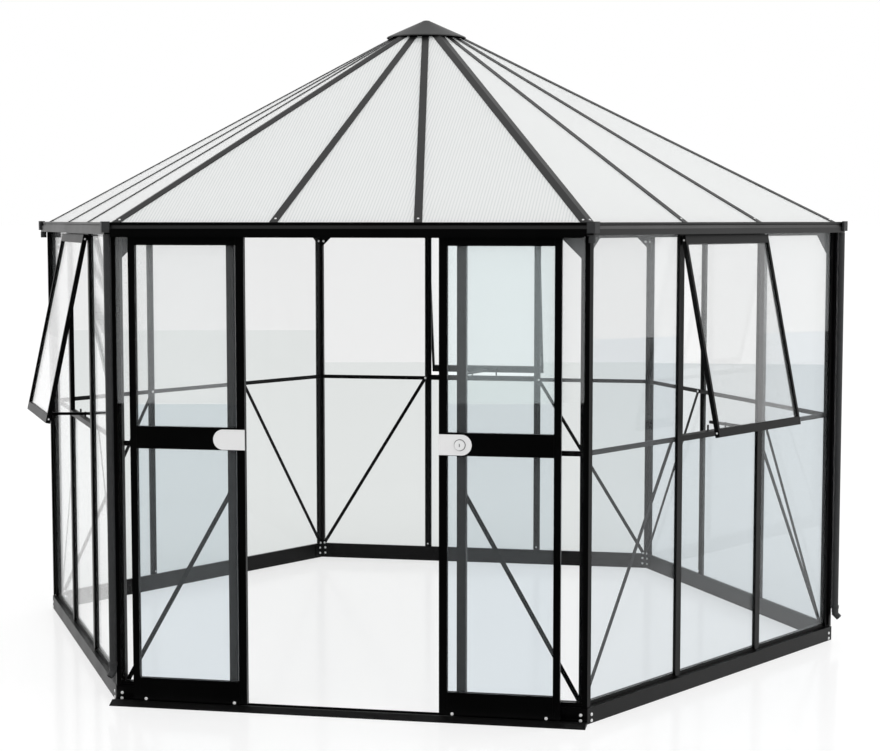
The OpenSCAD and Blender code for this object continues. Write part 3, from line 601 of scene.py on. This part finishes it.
def pull_plate(width, height, rings, steps):
    """Rings of one outline, each (inset, rise): two square corners and a half circle, less the inset."""
    inset, lift = np.asarray(rings, float).T
    angle = np.linspace(-math.pi / 2, math.pi / 2, steps)
    radius = height / 2 - inset[:, None]
    x = np.concatenate((inset[:, None], width - height / 2 + radius * np.cos(angle), inset[:, None]), 1)
    z = np.concatenate((-radius, radius * np.sin(angle), radius), 1)
    y = np.broadcast_to(-lift[:, None], x.shape)
    return np.stack((x, y, z), -1).reshape(-1, 3), skin(*x.shape)


plate_wide, plate_tall, plate_high, plate_steps = 0.128, 0.080, 1.072, 24
plate_rings = [(0, 0), (0, 0.0026), (0.0014, 0.004), (0.0045, 0.004), (0.0055, 0.0032)]
outline, plate_faces = pull_plate(plate_wide, plate_tall, plate_rings, plate_steps)
for leaf, way, leaf_in in leaves:
    placed = from_wall(0, (outline + (leaf_in, leaf_face - seat, plate_high)) * (way, 1, 1))
    faces = [face[::way] for face in plate_faces]
    plate = put(f"{leaf}_pull", placed, faces, plate_grey, leaf, "handle_plate")
    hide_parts(f"{leaf}_handle")
lock_in, lock_seat, lock_sides = 0.082, 0.0035, 40
lock_place = from_wall(0, np.array([(right_in + lock_in, leaf_face - lock_seat, plate_high)]))
knob = [(0.020, 0), (0.020, 0.0085), (0.0185, 0.0103), (0.012, 0.0103), (0.0112, 0.0095)]
knob_shape = copied(*spun(knob, lock_sides), lock_place, [outside])
put("lock_knob", *knob_shape, plate_grey, "right_door", "handle_plate")
# A dark ring flat on the plate: painted shadow in the gap round the lock.
gap_ring = [(0.0225, 0), (0.0225, 0.0006), (0.0205, 0.0006)]
gap_shape = copied(*spun(gap_ring, lock_sides), lock_place, [outside])
put("lock_gap_painted_shadow", *gap_shape, nylon, "right_door", "nylon")
# A dark block standing for the key slot's hole: painted shade.
slot_half, slot_out = np.array((0.0016, 0.0003, 0.006)), 0.0096
slot_place = lock_place[0] - (0, slot_out, 0)
put("key_slot_painted_shade", cube * slot_half + slot_place, cube_faces, nylon, "right_door", "nylon")

# Studio: a white floor that keeps a soft shadow and a faint mirror image, an even white surround,
# one large soft lamp high on the right, and a dark screen and apron in front for the black frame to mirror.
floor_half, floor_bright, bright_share, gloss_share = 500.0, 1.21, 0.57, 0.08
corners = np.array([(-1, -1, 0), (1, -1, 0), (1, 1, 0), (-1, 1, 0)]) * floor_half
floor_white, w = finish("studio_floor")
camera_ray = w.node("ShaderNodeLightPath", {}, {}, "Is Camera Ray")
glossy_ray = w.node("ShaderNodeLightPath", {}, {}, "Is Glossy Ray")
seen = w.maths("MAXIMUM", camera_ray, glossy_ray)
paint = w.node("ShaderNodeBsdfDiffuse", {}, {"Color": (0.9, 0.9, 0.9, 1)})
bright = w.node("ShaderNodeEmission", {}, {"Color": (1, 1, 1, 1), "Strength": floor_bright})
gloss = w.node("ShaderNodeBsdfGlossy", {}, {"Color": (1, 1, 1, 1), "Roughness": 0.12})
w.close(w.mix(seen * gloss_share, w.mix(seen * bright_share, paint, bright), gloss))
floor = meshed("studio_floor", corners, [[0, 1, 2, 3]], floor_white)

screen_back, screen_foot, screen_top = -11.0, -1, 8.5
screen_left, screen_right = -16, 12
apron_left, apron_right, apron_end, apron_high = -8, 4, -1.74, 0.002
corners = np.array([
    (screen_left, screen_back, screen_foot), (screen_right, screen_back, screen_foot),
    (screen_right, screen_back, screen_top), (screen_left, screen_back, screen_top),
    (apron_left, screen_back, apron_high), (apron_right, screen_back, apron_high),
    (apron_right, apron_end, apron_high), (apron_left, apron_end, apron_high),
])
screen_black, w = finish("dark_screen")
behind = w.node("ShaderNodeNewGeometry", {}, {}, "Backfacing")
dark = w.principled(Base_Color=(0.002, 0.002, 0.002, 1), Roughness=1.0, Specular_IOR_Level=0.0)
w.close(w.mix(behind, dark, w.node("ShaderNodeBsdfTransparent", {}, {})))
screen = meshed("dark_screen", corners, [[3, 2, 1, 0], [4, 5, 6, 7]], screen_black)
screen.visible_camera = False
screen.visible_diffuse = False
screen.visible_transmission = False
screen.visible_shadow = False

world = bpy.data.worlds.new("studio")
bpy.context.scene.world = world
world.use_nodes = True
world.node_tree.nodes.clear()
w = Wire(world.node_tree)
sky = w.node("ShaderNodeBackground", {}, {"Color": (1, 1, 1, 1), "Strength": 1.0})
w.node("ShaderNodeOutputWorld", {}, {"Surface": sky})

key = bpy.data.lights.new("key", "AREA")
key.shape = "DISK"
key.size = 4.0
key.energy = 130
lamp = bpy.data.objects.new("key", key)
lamp.location = (8.4, 3.2, 7.4)
lit_place = np.array((0, 0, 1.2))
aim = lit_place - np.array(lamp.location)
lamp.rotation_euler = (math.acos(-aim[2] / np.linalg.norm(aim)), 0, math.atan2(aim[1], aim[0]) - math.pi / 2)
bpy.context.scene.collection.objects.link(lamp)

# Camera: at the photograph's viewing angle, a little above the gutter's foot and to the right of the doorway,
# looking slightly down and to the left through a long lens.
lens = bpy.data.cameras.new("camera")
lens.sensor_width = 36
lens.lens = 75.66
look_down, look_left = 4.819, 10.68
camera = bpy.data.objects.new("camera", lens)
camera.location = (1.6832, -8.5827, 1.9292)
camera.rotation_euler = (math.radians(90 - look_down), 0, math.radians(look_left))
bpy.context.scene.collection.objects.link(camera)
bpy.context.scene.camera = camera
bpy.context.scene.cycles.transparent_max_bounces = 32
bpy.context.scene.view_settings.view_transform = "Standard"
